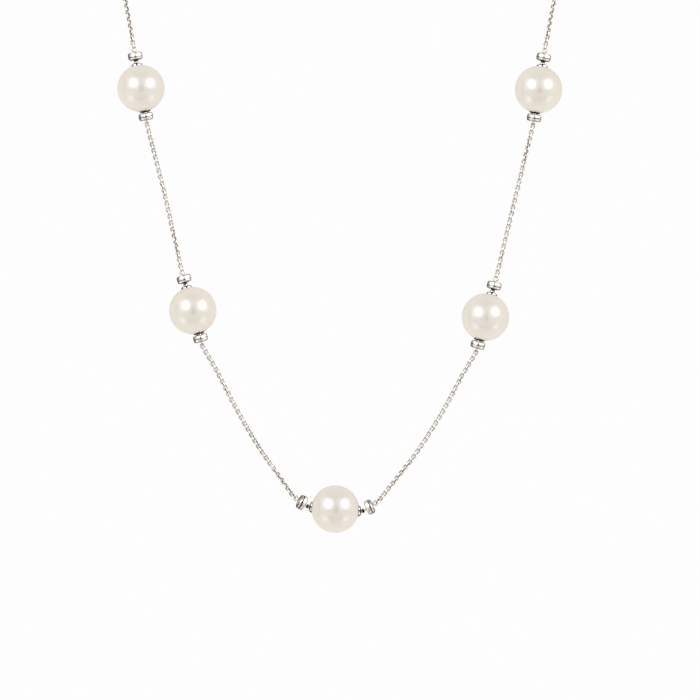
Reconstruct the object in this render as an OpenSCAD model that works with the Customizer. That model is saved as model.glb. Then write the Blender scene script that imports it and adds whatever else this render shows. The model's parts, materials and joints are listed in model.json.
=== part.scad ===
// Station necklace: five drilled pearls between silver rondelles on a fine cable chain.
// It keeps the form that it has round a neck. The origin is at the nape, where the loop hangs.
// +Z is up, -Y is the front of the wearer, and all sizes are in millimetres.

/* [Pearls] */
// Diameter of each pearl
pearl_d = 8.0; // [7.6:0.1:8.0]
// Diameter of the hole drilled through each pearl
pearl_hole_d = 0.78; // [0.74:0.02:1.0]

/* [Flared tubes] */
// Outer diameter of the tube that lines each pearl
tube_d = 0.68; // [0.60:0.02:0.70]
// Bore of that tube
tube_bore_d = 0.44; // [0.36:0.02:0.50]
// Distance from the pearl's centre to each end of the tube, along its axis
tube_reach = 4.9; // [4.6:0.05:4.9]
// Diameter of the flare's rim, where it sits on the pearl
flare_d = 1.84; // [1.50:0.02:2.00]
// Height of the flare's round top above its rim, at the axis
flare_rise = 0.27; // [0.22:0.01:0.28]
// Thickness of the flare's rim
flare_lip = 0.05; // [0.04:0.01:0.06]

/* [Rondelles] */
// Outer diameter of each rondelle
rondelle_d = 2.45; // [2.2:0.05:2.8]
// Thickness of each rondelle
rondelle_t = 1.2; // [1.0:0.05:1.2]
// Bore of each rondelle
rondelle_bore_d = 0.90; // [0.86:0.02:1.0]
// Radius of its outer edges
rondelle_edge = 0.30; // [0.20:0.02:0.32]
// Radius of its slightly bulging side, in section
rondelle_side = 2.0; // [1.6:0.1:3.0]
// Radius of the rounded mouths of its bore
rondelle_mouth = 0.34; // [0.30:0.02:0.34]

/* [Eye pins] */
// Diameter of the pin's shaft
pin_shaft_d = 0.22; // [0.20:0.01:0.24]
// Diameter of the wire of its eyes
pin_wire_d = 0.25; // [0.24:0.01:0.28]
// Outer diameter of the eye at each end of a pin
eye_d = 1.00; // [0.96:0.01:1.00]

/* [Chain] */
// Diameter of the envelope of the fine chain
chain_d = 0.84; // [0.70:0.02:0.90]
// Outer diameter of the round end links
end_link_d = 0.98; // [0.90:0.02:1.00]
// Diameter of the wire of the end links
link_wire_d = 0.20; // [0.16:0.01:0.20]

/* [Clasp] */
// Outer diameter of the clasp's ring
clasp_d = 5.5; // [5.0:0.1:6.0]
// Thickness of the clasp's round section
clasp_wire_d = 1.2; // [1.0:0.1:1.3]
// Outer diameter of the eye soldered to the clasp
clasp_eye_d = 2.0; // [1.8:0.1:2.2]
// Outer diameter of the plain ring that the clasp holds
end_ring_d = 3.4; // [3.0:0.1:3.6]
// Wire diameter of the clasp's eye and of the plain ring
ring_wire_d = 0.40; // [0.36:0.01:0.40]

/* [Worn form] */
// Lean of the front, away from upright
front_lean = 6; // [4:0.5:8]
// Distance from the nape forward to the top of the front
front_reach = 86; // [85:0.5:87]
// Drop from the nape to the top of the front
front_drop = 78; // [77:0.5:79]

/* [Hidden] */
$fn = 48;
gap = 0.02;            // running gap between metal and pearl
link_gap = 0.04;       // gap between a link and the wire that it hangs on
link_hold = 0.165;     // length of an end link's far side that the swept chain holds
tube_sides = 8;        // sides of a swept chain
bend_from = 4.15;      // distance from a pearl's centre at which a pin may begin to bend
bend_radius = 1.6;     // radius of that bend, on the wire's centre line
knit = 0.1;            // overlap that makes soldered pieces one solid
joint_size = 1.1;      // size of the ball where a bent pin runs straight again, by its shaft

pearl_count = 5;
rondelle_count = 2 * pearl_count;
chain_count = pearl_count + 1;

silver = "#d9d6cf";
soft_silver = "#c9c5bd";
nacre = "#ece4d8";

// Pearls from the left of the front to the right.
// Columns: across, height, and the heading of the hole in the plane of the front,
// in degrees anticlockwise from the right.
ACROSS = 0;
HEIGHT = 1;
HEADING = 2;
pearls = [
    [-33.6,  -92.8, -80.0],
    [-24.8, -130.3, -74.5],
    [ -0.8, -163.7,  -4.7],
    [ 24.5, -131.4,  74.7],
    [ 33.5,  -93.0,  81.0],
];

// Ends of the five pins, two rows for each pearl: behind the heading, then ahead of it.
// Columns: bend of the pin, reach of the eye's far side along the pin, turn of the eye about
// the pin, and the rondelle's distance along the pin, its tilt, and its swing to the front.
BEND = 0;
EYE_REACH = 1;
EYE_TURN = 2;
DISTANCE = 3;
TILT = 4;
SWING = 5;
ends = [
    [ 0.0, 7.29,  0, 5.55,  0.0,   1],
    [ 0.0, 6.20, 90, 4.86,  2.0, -10],
    [ 0.0, 7.29,  0, 5.55, -2.0,   1],
    [ 0.0, 6.20, 90, 4.86,  1.5, -10],
    [31.3, 7.54, 25, 5.84, 21.0,  14],
    [38.7, 7.67, 25, 5.97, 28.0,   7],
    [ 0.0, 6.20, 90, 4.86,  0.0, -10],
    [ 0.0, 7.29,  0, 5.55,  2.0,   1],
    [ 0.0, 6.20, 90, 4.86,  0.0, -10],
    [ 0.0, 7.29,  0, 5.55, -3.0,   1],
];

// The chain's route over each side of the neck, from the nape to the top of the front.
// Columns: across, forward, height. The left side is its mirror image.
neck_route = [
    [ 8.0,  -0.6,  -0.2],
    [17.0,  -3.0,  -1.0],
    [27.0,  -9.0,  -3.0],
    [35.8, -17.3,  -6.0],
    [42.2, -27.5,  -9.8],
    [46.2, -38.8, -14.6],
    [47.6, -50.0, -20.5],
    [47.4, -60.2, -27.8],
    [46.0, -69.0, -36.0],
    [43.8, -75.8, -45.2],
    [41.3, -80.7, -55.5],
    [38.8, -84.0, -66.5],
];

// The route between neighbouring pearls, as across and height in the plane of the front.
front_routes = [
    [[-29.4, -111.3]],
    [[-20.5, -140.9], [-18.3, -145.2], [-15.9, -149.5], [-13.4, -153.6], [-10.7, -157.5]],
    [[9.8, -158.2], [12.8, -154.3], [15.5, -150.2], [18.0, -146.0], [20.3, -141.7]],
    [[29.4, -111.9]],
];
front_top = 36.2;      // distance of the chain from the middle at the top of the front

function unit(v) = v / norm(v);

// A point of the front's leaning plane, from its place across and its height
function front_point(across, height) =
    [across, -front_reach + (height + front_drop) * tan(front_lean), height];

// A direction in the plane of the front, in degrees anticlockwise from the right
function front_direction(angle) =
    [cos(angle), sin(angle) * sin(front_lean), sin(angle) * cos(front_lean)];

front_normal = [0, -cos(front_lean), sin(front_lean)];

// Eyes

function eye_radius() = (eye_d - pin_wire_d) / 2;
function end_row(i, side) = ends[2 * i + (side > 0 ? 1 : 0)];
function pearl_centre(i) = front_point(pearls[i][ACROSS], pearls[i][HEIGHT]);

// A pin's point and heading at a distance from the pearl's centre, in the pin's own frame:
// [sideways, along, angle]. The wire runs straight, then round its bend, then straight again.
function bend_length(bend) = bend_radius * bend * PI / 180;
function pin_place(distance, bend) =
    let (
        turned = min(max(distance - bend_from, 0) / bend_radius * 180 / PI, bend),
        after = max(distance - bend_from - bend_length(bend), 0)
    )
    [
        bend_radius * (1 - cos(turned)) + after * sin(turned),
        min(distance, bend_from) + bend_radius * sin(turned) + after * cos(turned),
        turned
    ];

// The middle of an eye's outer wire, where a chain's end link hangs
function eye_seat(i, side) =
    let (
        row = end_row(i, side),
        place = pin_place(row[EYE_REACH] - pin_wire_d / 2, row[BEND]),
        heading = pearls[i][HEADING]
    )
    pearl_centre(i) + place[0] * front_direction(heading + 90)
        + side * place[1] * front_direction(heading);

// The way out of an eye, away from its pearl
function eye_outward(i, side) =
    let (angle = end_row(i, side)[BEND], heading = pearls[i][HEADING])
    sin(angle) * front_direction(heading + 90) + side * cos(angle) * front_direction(heading);

// The way that the eye's wire runs where the end link hangs
function eye_wire_way(i, side) =
    let (
        out = eye_outward(i, side),
        turn = end_row(i, side)[EYE_TURN]
    )
    side * cos(turn) * cross(front_normal, out) + sin(turn) * front_normal;

// Route of the chain, with a smooth curve through its points

function curve_point(a, b, c, d, t) =
    ((2 * b) + (c - a) * t + (2 * a - 5 * b + 4 * c - d) * pow(t, 2)
        + (3 * b - a - 3 * c + d) * pow(t, 3)) / 2;

function smooth(points, steps) =
    let (
        last = len(points) - 1,
        padded = concat([2 * points[0] - points[1]], points, [2 * points[last] - points[last - 1]])
    )
    concat(
        [for (i = [0:last - 1], k = [0:steps - 1])
            curve_point(padded[i], padded[i + 1], padded[i + 2], padded[i + 3], k / steps)],
        [points[last]]
    );

function mirrored(points) = [for (p = points) [-p[0], p[1], p[2]]];
function reversed(points) = [for (i = [len(points) - 1:-1:0]) points[i]];

neck_side = concat(neck_route, [front_point(front_top, -front_drop)]);

clasp_radius = (clasp_d - clasp_wire_d) / 2;
clasp_eye_radius = (clasp_eye_d - ring_wire_d) / 2;
end_ring_radius = (end_ring_d - ring_wire_d) / 2;
clasp_eye_x = -(clasp_d / 2 + clasp_eye_radius - knit);
end_ring_x = clasp_radius - (clasp_wire_d + ring_wire_d) / 2 - link_gap + end_ring_radius;
clasp_seat = [clasp_eye_x - clasp_eye_radius, 0, 0];
end_ring_seat = [end_ring_x + end_ring_radius, 0, 0];

// Where each chain begins and ends: [seat, wire's way there, wire's diameter, first way out]
function chain_start(n) =
    n == 0
    ? [clasp_seat, [0, 0, 1], ring_wire_d, [-1, 0, 0]]
    : [eye_seat(n - 1, 1), eye_wire_way(n - 1, 1), pin_wire_d, eye_outward(n - 1, 1)];
function chain_end(n) =
    n == chain_count - 1
    ? [end_ring_seat, [0, 1, 0], ring_wire_d, [1, 0, 0]]
    : [eye_seat(n, -1), eye_wire_way(n, -1), pin_wire_d, eye_outward(n, -1)];

function inner_route(n) =
    n == 0 ? mirrored(neck_side)
    : n == chain_count - 1 ? reversed(neck_side)
    : [for (p = front_routes[n - 1]) front_point(p[0], p[1])];

// An end link's mean radius, and the distance of its centre from the wire that it hangs on
link_radius = (end_link_d - link_wire_d) / 2;
function link_offset(end) = link_radius - (link_wire_d + end[2]) / 2 - link_gap;

// The swept chain begins just inside the far side of its end link
function chain_mouth(end) = end[0] + (link_offset(end) + end_link_d / 2 - link_hold) * end[3];
function chain_route(n) =
    concat([chain_mouth(chain_start(n))], inner_route(n), [chain_mouth(chain_end(n))]);
function chain_steps(n) = n == 0 || n == chain_count - 1 ? 2 : 1;

// A direction that no chain runs along, so that its rings never flip
sweep_up = unit([0, -1, 1.7]);

module swept(path, diameter, up, sides) {
    last = len(path) - 1;
    ways = [for (i = [0:last]) unit(path[min(i + 1, last)] - path[max(i - 1, 0)])];
    points = [for (i = [0:last])
        let (a = unit(cross(ways[i], up)), b = cross(ways[i], a))
        for (k = [0:sides - 1])
            let (angle = 360 * (k + 0.5) / sides)
            path[i] + diameter / 2 * (cos(angle) * a + sin(angle) * b)];
    skin = [for (i = [0:last - 1], k = [0:sides - 1], half = [0, 1])
        let (
            next = (k + 1) % sides,
            near = i * sides,
            far = near + sides
        )
        half == 0 ? [near + k, far + next, near + next] : [near + k, far + k, far + next]];
    caps = [
        [for (k = [0:sides - 1]) k],
        [for (k = [sides - 1:-1:0]) last * sides + k],
    ];
    polyhedron(points = points, faces = concat(skin, caps), convexity = 8);
}

// A round ring about its own Z
module round_ring(mean_radius, wire_d) {
    rotate_extrude() translate([mean_radius, 0]) circle(d = wire_d, $fn = 24);
}

// Places a child so that its Z lies along a direction
module aim(point, way) {
    translate(point)
        rotate([0, acos(way[2] / norm(way)), atan2(way[1], way[0])])
            children();
}

// A pearl's frame: Z along its hole, X to the left of that heading, Y to the front
module at_pearl(i) {
    translate(pearl_centre(i))
        rotate([-front_lean, 0, 0])
            rotate([0, 90 - pearls[i][HEADING], 0])
                rotate([0, 0, 180])
                    children();
}

// The same frame with Z out of the pearl at one end of its hole
module at_end(i, side) {
    at_pearl(i) mirror([0, 0, side > 0 ? 0 : 1]) children();
}

// A place on a pin, with Z along the pin there
module on_pin(distance, bend) {
    place = pin_place(distance, bend);
    translate([place[0], 0, place[1]]) rotate([0, place[2], 0]) children();
}

// Wire or tube through the pearl, as far as a pin may begin to bend
module pin_middle(diameter) {
    cylinder(d = diameter, h = 2 * bend_from, center = true);
}

// Wire or tube on from there to a distance
module pin_tail(distance, bend, diameter) {
    turned = pin_place(distance, bend)[2];
    if (turned > 0) {
        translate([bend_radius, 0, bend_from])
            rotate([90, 0, 180])
                rotate_extrude(angle = turned, $fn = 96)
                    translate([bend_radius, 0]) circle(d = diameter, $fn = 24);
    }
    straight = distance - bend_from - bend_length(turned);
    if (straight > 0.001) {
        on_pin(bend_from + bend_length(turned), turned)
            cylinder(d = diameter, h = straight);
    }
}

// Pearls

// Half section of a pearl: a disc less the drilled hole
module pearl_section() {
    difference() {
        circle(d = pearl_d, $fn = 96);
        translate([pearl_hole_d / 2 - pearl_d, -pearl_d]) square([pearl_d, 2 * pearl_d]);
    }
}

module pearl(i) {
    color(nacre)
        at_pearl(i) rotate_extrude() pearl_section();
}

// Flared tubes

// Half section of the flare: a round top over a straight rim, less the pearl that it sits on
module flare_section() {
    seat_r = pearl_d / 2 + gap;
    rim_r = flare_d / 2;
    rim_z = sqrt(pow(seat_r, 2) - pow(rim_r, 2)) + flare_lip;
    top_r = (pow(rim_r, 2) + pow(flare_rise, 2)) / (2 * flare_rise);
    inner_r = tube_bore_d / 2 + gap;
    difference() {
        intersection() {
            translate([0, rim_z + flare_rise - top_r]) circle(r = top_r, $fn = 180);
            translate([inner_r, rim_z - flare_lip - knit])
                square([rim_r - inner_r, flare_lip + flare_rise + knit]);
        }
        circle(r = seat_r, $fn = 180);
    }
}

module flared_tube(i) {
    color(silver)
        difference() {
            union() {
                at_pearl(i) pin_middle(tube_d);
                for (side = [-1, 1]) {
                    at_end(i, side) {
                        pin_tail(tube_reach, end_row(i, side)[BEND], tube_d);
                        rotate_extrude() flare_section();
                    }
                }
            }
            at_pearl(i) pin_middle(tube_bore_d);
            for (side = [-1, 1]) {
                at_end(i, side)
                    pin_tail(tube_reach + knit, end_row(i, side)[BEND], tube_bore_d);
            }
        }
}

// Eye pins

module eye_pin(i) {
    color(soft_silver)
        union() {
            at_pearl(i) pin_middle(pin_shaft_d);
            for (side = [-1, 1]) {
                row = end_row(i, side);
                bend = row[BEND];
                at_end(i, side) {
                    pin_tail(row[EYE_REACH] - eye_d + pin_wire_d / 2, bend, pin_shaft_d);
                    on_pin(row[EYE_REACH] - eye_d / 2, bend)
                        rotate([90, 0, row[EYE_TURN]])
                            round_ring(eye_radius(), pin_wire_d);
                    if (bend > 0) {
                        on_pin(bend_from + bend_length(bend), bend)
                            sphere(d = joint_size * pin_shaft_d, $fn = 24);
                    }
                }
            }
        }
}

// Rondelles

// Half section: a band with a bulging side, rounded outer edges and rounded mouths to its bore.
// The side's curve runs into the curve of each edge at side_z.
module rondelle_section() {
    half = rondelle_t / 2;
    bore_r = rondelle_bore_d / 2;
    mouth_x = bore_r + rondelle_mouth;
    edge_z = half - rondelle_edge;
    side_x = rondelle_d / 2 - rondelle_side;
    sweep = asin(edge_z / (rondelle_side - rondelle_edge));
    edge_x = side_x + (rondelle_side - rondelle_edge) * cos(sweep);
    side_z = rondelle_side * sin(sweep);
    translate([mouth_x, -half]) square([edge_x - mouth_x, rondelle_t]);
    translate([bore_r, rondelle_mouth - half])
        square([edge_x - bore_r, rondelle_t - 2 * rondelle_mouth]);
    intersection() {
        translate([side_x, 0]) circle(r = rondelle_side, $fn = 180);
        translate([mouth_x, -side_z]) square([rondelle_d, 2 * side_z]);
    }
    for (side = [-1, 1]) {
        translate([mouth_x, side * (half - rondelle_mouth)]) circle(r = rondelle_mouth, $fn = 32);
        translate([edge_x, side * edge_z]) circle(r = rondelle_edge, $fn = 32);
    }
}

module rondelle(n) {
    i = floor(n / 2);
    side = n % 2 == 0 ? -1 : 1;
    row = end_row(i, side);
    place = pin_place(row[DISTANCE], row[BEND]);
    color(silver)
        at_end(i, side)
            translate([place[0], 0, place[1]])
                rotate([0, row[TILT], 0])
                    rotate([-row[SWING], 0, 0])
                        rotate_extrude() rondelle_section();
}

// Chain

// The round link at a chain's end, hung on an eye's wire
module end_link(end) {
    aim(end[0] + link_offset(end) * end[3], end[1]) round_ring(link_radius, link_wire_d);
}

module chain(n) {
    color(soft_silver)
        union() {
            swept(smooth(chain_route(n), chain_steps(n)), chain_d, sweep_up, tube_sides);
            end_link(chain_start(n));
            end_link(chain_end(n));
        }
}

// Clasp at the nape

module clasp() {
    color(silver)
        rotate([90, 0, 0])
            union() {
                round_ring(clasp_radius, clasp_wire_d);
                translate([clasp_eye_x, 0, 0]) round_ring(clasp_eye_radius, ring_wire_d);
            }
}

module end_ring() {
    color(silver) translate([end_ring_x, 0, 0]) round_ring(end_ring_radius, ring_wire_d);
}

for (i = [1:pearl_count]) {
    pearl(i - 1);
    flared_tube(i - 1);
    eye_pin(i - 1);
}
for (i = [1:rondelle_count]) {
    rondelle(i - 1);
}
for (i = [1:chain_count]) {
    chain(i - 1);
}
clasp();
end_ring();
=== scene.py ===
"""Dresses a pearl station necklace in the form that it has round a neck.

The pearls, rondelles, flared tubes, eye pins and the links of the cable chain are modelled at
their real size, in metres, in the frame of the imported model: +Z is up and -Y is the front.
"""

import json
import logging
import math
import random
from abc import ABC, abstractmethod
from bisect import bisect_left
from collections.abc import Iterable, Mapping, Sequence
from dataclasses import dataclass, field, replace
from enum import Enum
from itertools import accumulate, pairwise

import bpy
from mathutils import Matrix, Vector

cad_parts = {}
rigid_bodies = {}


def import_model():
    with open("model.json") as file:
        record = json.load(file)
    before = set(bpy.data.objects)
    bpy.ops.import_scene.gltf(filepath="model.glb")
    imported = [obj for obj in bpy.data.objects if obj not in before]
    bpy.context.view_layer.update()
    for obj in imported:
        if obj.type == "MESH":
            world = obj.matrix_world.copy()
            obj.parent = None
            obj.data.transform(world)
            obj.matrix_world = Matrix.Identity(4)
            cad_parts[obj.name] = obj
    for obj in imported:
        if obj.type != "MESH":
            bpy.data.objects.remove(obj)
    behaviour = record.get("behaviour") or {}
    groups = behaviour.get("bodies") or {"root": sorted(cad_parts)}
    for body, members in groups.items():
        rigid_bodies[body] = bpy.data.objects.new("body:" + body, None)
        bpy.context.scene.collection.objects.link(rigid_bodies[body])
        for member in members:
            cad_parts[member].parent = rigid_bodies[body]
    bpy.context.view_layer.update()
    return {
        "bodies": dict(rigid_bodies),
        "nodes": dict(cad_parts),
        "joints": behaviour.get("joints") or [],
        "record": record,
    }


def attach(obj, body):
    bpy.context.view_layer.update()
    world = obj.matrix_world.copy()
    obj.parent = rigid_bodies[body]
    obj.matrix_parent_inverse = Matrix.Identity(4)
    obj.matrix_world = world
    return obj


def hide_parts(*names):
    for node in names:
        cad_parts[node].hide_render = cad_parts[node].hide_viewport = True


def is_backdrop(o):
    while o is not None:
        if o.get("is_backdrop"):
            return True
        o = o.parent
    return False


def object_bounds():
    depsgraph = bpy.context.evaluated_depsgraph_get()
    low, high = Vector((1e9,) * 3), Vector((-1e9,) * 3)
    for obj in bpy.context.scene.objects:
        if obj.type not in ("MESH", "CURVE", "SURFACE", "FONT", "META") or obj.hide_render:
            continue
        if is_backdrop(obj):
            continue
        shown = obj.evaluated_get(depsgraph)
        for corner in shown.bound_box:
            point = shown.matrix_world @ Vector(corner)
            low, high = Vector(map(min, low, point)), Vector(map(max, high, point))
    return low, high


LOG = logging.getLogger("necklace")

MM = 0.001
FULL_TURN = 2 * math.pi
BODY = "root"
# Name of each point's amount of painted shade and patina, which darkens the silver.
SHADE_AND_PATINA = "shade_and_patina"
BACKDROP = (0.984, 0.984, 0.984)
WHITE = (1.0, 1.0, 1.0)

Colour = tuple[float, float, float]
Pair = tuple[float, float]
Faces = list[tuple[int, ...]]
Inputs = Mapping[str | int, object]
Link = bpy.types.NodeSocket
Material = bpy.types.Material
Piece = bpy.types.Object


class Side(Enum):
    """The two ends of a pearl's hole, by their place on the pearl's heading."""

    BEHIND = -1
    AHEAD = 1

    @property
    def mirror(self) -> Matrix:
        """The mirror that turns the way ahead into the way out at this end."""
        return Matrix.Diagonal((1, 1, self.value, 1))


def share(value: float) -> float:
    """Keeps a value between 0 and 1."""
    return min(1.0, max(0.0, value))


def spin(degrees: float, axis: str) -> Matrix:
    """A turn about an axis."""
    return Matrix.Rotation(math.radians(degrees), 4, axis)


# Shader trees


class Socket:
    """A number in a shader tree, on which Python's arithmetic adds Math nodes."""

    def __init__(self, shop: "ShaderShop", source: Link) -> None:
        """Wraps the output of a node in a shop's tree."""
        self.shop = shop
        self.source = source

    def math(self, operation: str, *values: "Socket | float") -> "Socket":
        """Adds a Math node that works on some values, in order."""
        inputs = dict(enumerate(values))
        return self.shop.number("ShaderNodeMath", {"operation": operation}, inputs)

    def __add__(self, other: "Socket | float") -> "Socket":
        """This value plus another."""
        return self.math("ADD", self, other)

    def __radd__(self, other: float) -> "Socket":
        """A number plus this value."""
        return self.math("ADD", other, self)

    def __sub__(self, other: "Socket | float") -> "Socket":
        """This value less another."""
        return self.math("SUBTRACT", self, other)

    def __rsub__(self, other: float) -> "Socket":
        """A number less this value."""
        return self.math("SUBTRACT", other, self)

    def __mul__(self, other: "Socket | float") -> "Socket":
        """This value times another."""
        return self.math("MULTIPLY", self, other)

    def __rmul__(self, other: float) -> "Socket":
        """A number times this value."""
        return self.math("MULTIPLY", other, self)

    def __truediv__(self, other: "Socket | float") -> "Socket":
        """This value over another."""
        return self.math("DIVIDE", self, other)

    def __rtruediv__(self, other: float) -> "Socket":
        """A number over this value."""
        return self.math("DIVIDE", other, self)

    def __abs__(self) -> "Socket":
        """This value without its sign."""
        return self.math("ABSOLUTE", self)

    def root(self) -> "Socket":
        """This value's square root."""
        return self.math("SQRT", self)

    def reach(self, other: "Socket") -> "Socket":
        """The length of the way that goes this far, and then as far as another value square to it."""
        return (self * self + other * other).root()

    def ramp(self, span: Pair, first: float = 0.0, last: float = 1.0) -> "Socket":
        """Runs smoothly from one value to another.

        Args:
            span: Where the run begins and where it ends.
            first: The result before it.
            last: The result after it.

        Returns:
            The result at this value.
        """
        inputs = {"Value": self, "From Min": span[0], "From Max": span[1]}
        inputs |= {"To Min": first, "To Max": last}
        settings = {"interpolation_type": "SMOOTHSTEP"}
        return self.shop.number("ShaderNodeMapRange", settings, inputs)

    def within(self, limit: float, soft: float) -> "Socket":
        """Gives 1 below a limit and 0 above it, with an edge that is soft on both sides."""
        return self.ramp((limit - soft, limit + soft), 1.0, 0.0)


class ShaderShop:
    """Makes the nodes of one shader tree."""

    def __init__(self, tree: bpy.types.NodeTree) -> None:
        """Empties the tree of a material or of the world."""
        self.tree = tree
        tree.nodes.clear()

    def plug(self, socket: Link, value: object) -> None:
        """Fills a node's socket.

        Args:
            socket: The socket.
            value: What it is linked to, or its number, vector or colour.
        """
        if isinstance(value, Socket):
            value = value.source
        if isinstance(value, Link):
            self.tree.links.new(value, socket)
        else:
            socket.default_value = (*value, 1.0) if socket.type == "RGBA" else value

    def node(
        self, kind: str, settings: Mapping[str, object] | None = None, inputs: Inputs | None = None
    ) -> bpy.types.Node:
        """Adds a node.

        Args:
            kind: The node's type.
            settings: Its settings, which are set before its sockets.
            inputs: The value or link of each socket, by the socket's name or number.

        Returns:
            The node.
        """
        node = self.tree.nodes.new(kind)
        for name, value in (settings or {}).items():
            setattr(node, name, value)
        for name, value in (inputs or {}).items():
            self.plug(node.inputs[name], value)
        return node

    def number(
        self, kind: str, settings: Mapping[str, object], inputs: Inputs, output: str | int = 0
    ) -> Socket:
        """Adds a node and gives the number that comes out of it."""
        return Socket(self, self.node(kind, settings, inputs).outputs[output])

    def vector(self, operation: str, inputs: Inputs) -> Link:
        """Adds a Vector Math node and gives the vector that comes out of it."""
        return self.node("ShaderNodeVectorMath", {"operation": operation}, inputs).outputs[0]

    def noise(self, scale: float, detail: float) -> Socket:
        """Adds noise that is fixed to the object.

        Args:
            scale: Waves in a metre.
            detail: Octaves of finer noise.

        Returns:
            Noise around 0.5.
        """
        place = self.node("ShaderNodeTexCoord").outputs["Object"]
        inputs = {"Vector": place, "Scale": scale, "Detail": detail}
        return self.number("ShaderNodeTexNoise", {}, inputs)

    def bump(self, strength: float, depth: float, height: Socket) -> Link:
        """Adds a bump of some depth in metres, and gives its normal."""
        inputs = {"Strength": strength, "Distance": depth, "Height": height}
        return self.node("ShaderNodeBump", {}, inputs).outputs["Normal"]

    def blend(self, factor: Socket, first: object, second: object) -> Link:
        """Mixes two colours.

        Args:
            factor: 0 for the first colour, 1 for the second.
            first: A colour or the link that gives it.
            second: A colour or the link that gives it.

        Returns:
            The mixed colour.
        """
        node = self.node("ShaderNodeMix", {"data_type": "RGBA"})
        values = {"Factor_Float": factor, "A_Color": first, "B_Color": second}
        for socket in node.inputs:
            if socket.identifier in values:
                self.plug(socket, values[socket.identifier])
        return next(s for s in node.outputs if s.identifier == "Result_Color")

    def principled(self, inputs: Inputs) -> Link:
        """Adds a Principled shader."""
        return self.node("ShaderNodeBsdfPrincipled", {}, inputs).outputs["BSDF"]

    def background(self, colour: object, strength: Socket | float = 1.0) -> Link:
        """Adds a light from all round, for the world."""
        inputs = {"Color": colour, "Strength": strength}
        return self.node("ShaderNodeBackground", {}, inputs).outputs["Background"]

    def mix(self, factor: Socket | Link, first: Link, second: Link) -> Link:
        """Mixes two shaders, from the first at 0 to the second at 1."""
        return self.node("ShaderNodeMixShader", {}, {0: factor, 1: first, 2: second}).outputs[0]


# Finishes


class Finish(ABC):
    """A material that is made of shader nodes alone."""

    name: str

    @abstractmethod
    def surface(self, shop: ShaderShop) -> Link:
        """Makes the shader in a shop's tree."""

    def material(self) -> Material:
        """Makes the material.

        Returns:
            The material.
        """
        material = bpy.data.materials.new(self.name)
        material.use_nodes = True
        shop = ShaderShop(material.node_tree)
        shop.node("ShaderNodeOutputMaterial", {}, {"Surface": self.surface(shop)})
        return material


@dataclass(frozen=True)
class SilverFinish(Finish):
    """Polished silver that is slightly warm, with faint wear, and a dark film of painted shade and patina
    where the pieces mark it.
    """

    name: str
    colour: Colour = (0.87, 0.82, 0.76)
    smooth: float = 0.07
    worn: float = 0.16
    dulled: float = 0.12
    wear_scale: float = 900.0
    wear_span: Pair = (0.35, 0.7)
    # The dark film: painted shade in creases, gaps and grooves, and patina.
    shade_and_patina_layer: Colour = (0.007, 0.0055, 0.0045)
    shade_and_patina_rough: float = 0.55
    shade_and_patina_gloss: float = 0.04
    cloud_scale: float = 300.0
    cloud_span: Pair = (0.3, 0.7)
    thinnest: float = 0.92
    dent_scale: float = 2600.0
    dent_depth: float = 0.004 * MM
    dent_strength: float = 0.35

    def surface(self, shop: ShaderShop) -> Link:
        """Lays a dark film over the silver where the pieces mark it: painted shade in creases, gaps and
        grooves, with patina.

        Args:
            shop: The material's tree.

        Returns:
            The shader.
        """
        shade_and_patina = shop.number("ShaderNodeAttribute", {"attribute_name": SHADE_AND_PATINA}, {}, "Fac")
        wear = shop.noise(self.wear_scale, 3.0).ramp(self.wear_span)
        # How far the dark film covers each point: painted shade, with patina.
        film = shade_and_patina * shop.noise(self.cloud_scale, 2.0).ramp(self.cloud_span, self.thinnest)
        dents = shop.bump(self.dent_strength, self.dent_depth, shop.noise(self.dent_scale, 2.0))
        silver = {
            "Base Color": self.colour,
            "Metallic": 1.0,
            "Roughness": self.smooth + wear * (self.worn - self.smooth) + shade_and_patina * self.dulled,
            "Normal": dents,
        }
        shade_and_patina_layer = {
            "Base Color": self.shade_and_patina_layer,
            "Metallic": 0.0,
            "Roughness": self.shade_and_patina_rough,
            "Specular IOR Level": self.shade_and_patina_gloss,
            "Normal": dents,
        }
        return shop.mix(film, shop.principled(silver), shop.principled(shade_and_patina_layer))


@dataclass(frozen=True)
class PearlFinish(Finish):
    """Cream pearl lacquer: a soft body, a broad inner lustre and a clear gloss over it."""

    name: str = "pearl_lacquer"
    body: Colour = (0.825, 0.771, 0.684)
    rosy: Colour = (0.825, 0.755, 0.668)
    swirl_scale: float = 210.0
    swirl_span: Pair = (0.3, 0.7)
    lustre: float = 0.03
    lustre_swing: float = 0.04
    broad_gloss: float = 0.26
    gloss_swing: float = 0.05
    grain_scale: float = 3000.0
    gloss: float = 0.155
    gloss_index: float = 2.2
    gloss_facing: float = 1.0
    gloss_edge: float = 0.02
    edge_span: Pair = (0.12, 0.4)
    sheen: float = 0.07
    sheen_tint: Colour = (1.0, 0.93, 0.80)
    sheen_rough: float = 0.3
    ripple_scale: float = 1500.0
    ripple_depth: float = 0.003 * MM
    ripple_strength: float = 0.3

    def surface(self, shop: ShaderShop) -> Link:
        """Lays the lacquer's gloss over the pearl's body.

        Args:
            shop: The material's tree.

        Returns:
            The shader.
        """
        swirl = shop.noise(self.swirl_scale, 2.0).ramp(self.swirl_span)
        grain = shop.noise(self.grain_scale, 3.0)
        ripple = shop.noise(self.ripple_scale, 2.0)
        facing = shop.number("ShaderNodeLayerWeight", {}, {"Blend": 0.5}, "Facing")
        inputs = {
            "Base Color": shop.blend(swirl, self.body, self.rosy),
            "Metallic": self.lustre + (swirl - 0.5) * self.lustre_swing,
            "Roughness": self.broad_gloss + (grain - 0.5) * self.gloss_swing,
            "Specular IOR Level": 0.0,
            "Sheen Weight": self.sheen,
            "Sheen Roughness": self.sheen_rough,
            "Sheen Tint": self.sheen_tint,
            "Coat Weight": facing.ramp(self.edge_span, self.gloss_facing, self.gloss_edge),
            "Coat Roughness": self.gloss,
            "Coat IOR": self.gloss_index,
            "Normal": shop.bump(self.ripple_strength, self.ripple_depth, ripple),
        }
        return shop.principled(inputs)


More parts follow.
